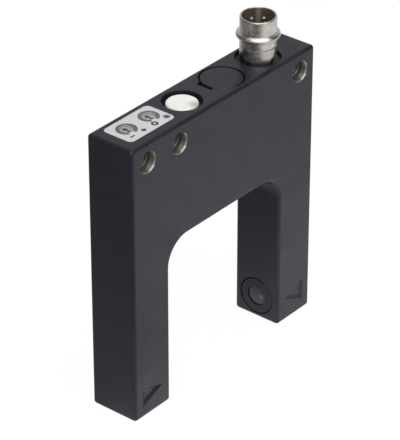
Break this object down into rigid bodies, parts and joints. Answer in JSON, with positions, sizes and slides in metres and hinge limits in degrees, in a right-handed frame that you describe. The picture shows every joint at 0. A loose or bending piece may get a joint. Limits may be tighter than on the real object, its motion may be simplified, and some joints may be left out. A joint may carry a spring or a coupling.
{
  "type": "fork sensor",
  "caption": "Fork-shaped light barrier: black housing with two legs and a gap, lenses facing each other, two adjusters, status window and round plug.",
  "frame": {"origin": "on the plane of the leg tips, in the middle of the housing's length and depth", "axes": "+Z from the leg tips up to the plug, +X along the housing from the adjusters to the plug, -Y out of the broad front face with the mounting threads"},
  "size_m": [0.06, 0.012, 0.0758],
  "materials": {
    "black_coat": "satin black coating on zinc die casting",
    "steel_thread": "turned steel insert",
    "label_grey": "light grey printed plate",
    "rotor_grey": "grey moulded rotor",
    "milky_window": "milky translucent light guide",
    "black_cap": "satin black moulding",
    "plug_nickel": "nickel plated brass",
    "carrier_dark": "dark moulded contact carrier",
    "pin_plate": "plated contact pin",
    "seal_black": "black seal",
    "holder_black": "black moulded holder",
    "lens_smoke": "smoked infrared lens",
    "board_green": "glass fibre circuit board",
    "case_blue": "moulded adjuster case",
    "chip_black": "moulded chip",
    "capacitor_tan": "ceramic capacitor",
    "diode_clear": "clear moulded diode",
    "diode_dark": "dark moulded diode",
    "led_green": "green status diode",
    "led_yellow": "yellow status diode"
  },
  "bodies": {
    "sensor": {"housing": "black_coat", "back_cover": "black_coat", "mounting_insert_1": "steel_thread", "mounting_insert_2": "steel_thread", "mounting_insert_3": "steel_thread", "label_plate": "label_grey", "status_window": "milky_window", "blanking_cap": "black_cap", "connector_shell": "plug_nickel", "connector_nut": "plug_nickel", "contact_carrier": "carrier_dark", "contact_pin_1": "pin_plate", "contact_pin_2": "pin_plate", "contact_pin_3": "pin_plate", "contact_pin_4": "pin_plate", "connector_seal": "seal_black", "cover_seal": "seal_black", "cap_seal": "seal_black", "adjuster_seal_1": "seal_black", "adjuster_seal_2": "seal_black", "emitter_holder": "holder_black", "receiver_holder": "holder_black", "emitter_lens": "lens_smoke", "receiver_lens": "lens_smoke", "circuit_board": "board_green", "connector_board": "board_green", "sensitivity_adjuster": "case_blue", "mode_selector": "case_blue", "controller_chip": "chip_black", "amplifier_chip": "chip_black", "output_driver": "chip_black", "filter_capacitor_1": "capacitor_tan", "filter_capacitor_2": "capacitor_tan", "emitter_diode": "diode_clear", "receiver_diode": "diode_dark", "status_led_green": "led_green", "status_led_yellow": "led_yellow"},
    "sensitivity_rotor": {"sensitivity_rotor": "rotor_grey"},
    "mode_rotor": {"mode_rotor": "rotor_grey"}
  },
  "joints": [
    {"name": "sensitivity_turn", "type": "hinge", "parent": "sensor", "child": "sensitivity_rotor", "pos_m": [-0.0234, 0.001, 0.066], "axis": [0, 0, 1], "range_deg": [-135, 135]},
    {"name": "mode_turn", "type": "hinge", "parent": "sensor", "child": "mode_rotor", "pos_m": [-0.0165, 0.001, 0.066], "axis": [0, 0, 1], "range_deg": [-135, 135]}
  ]
}
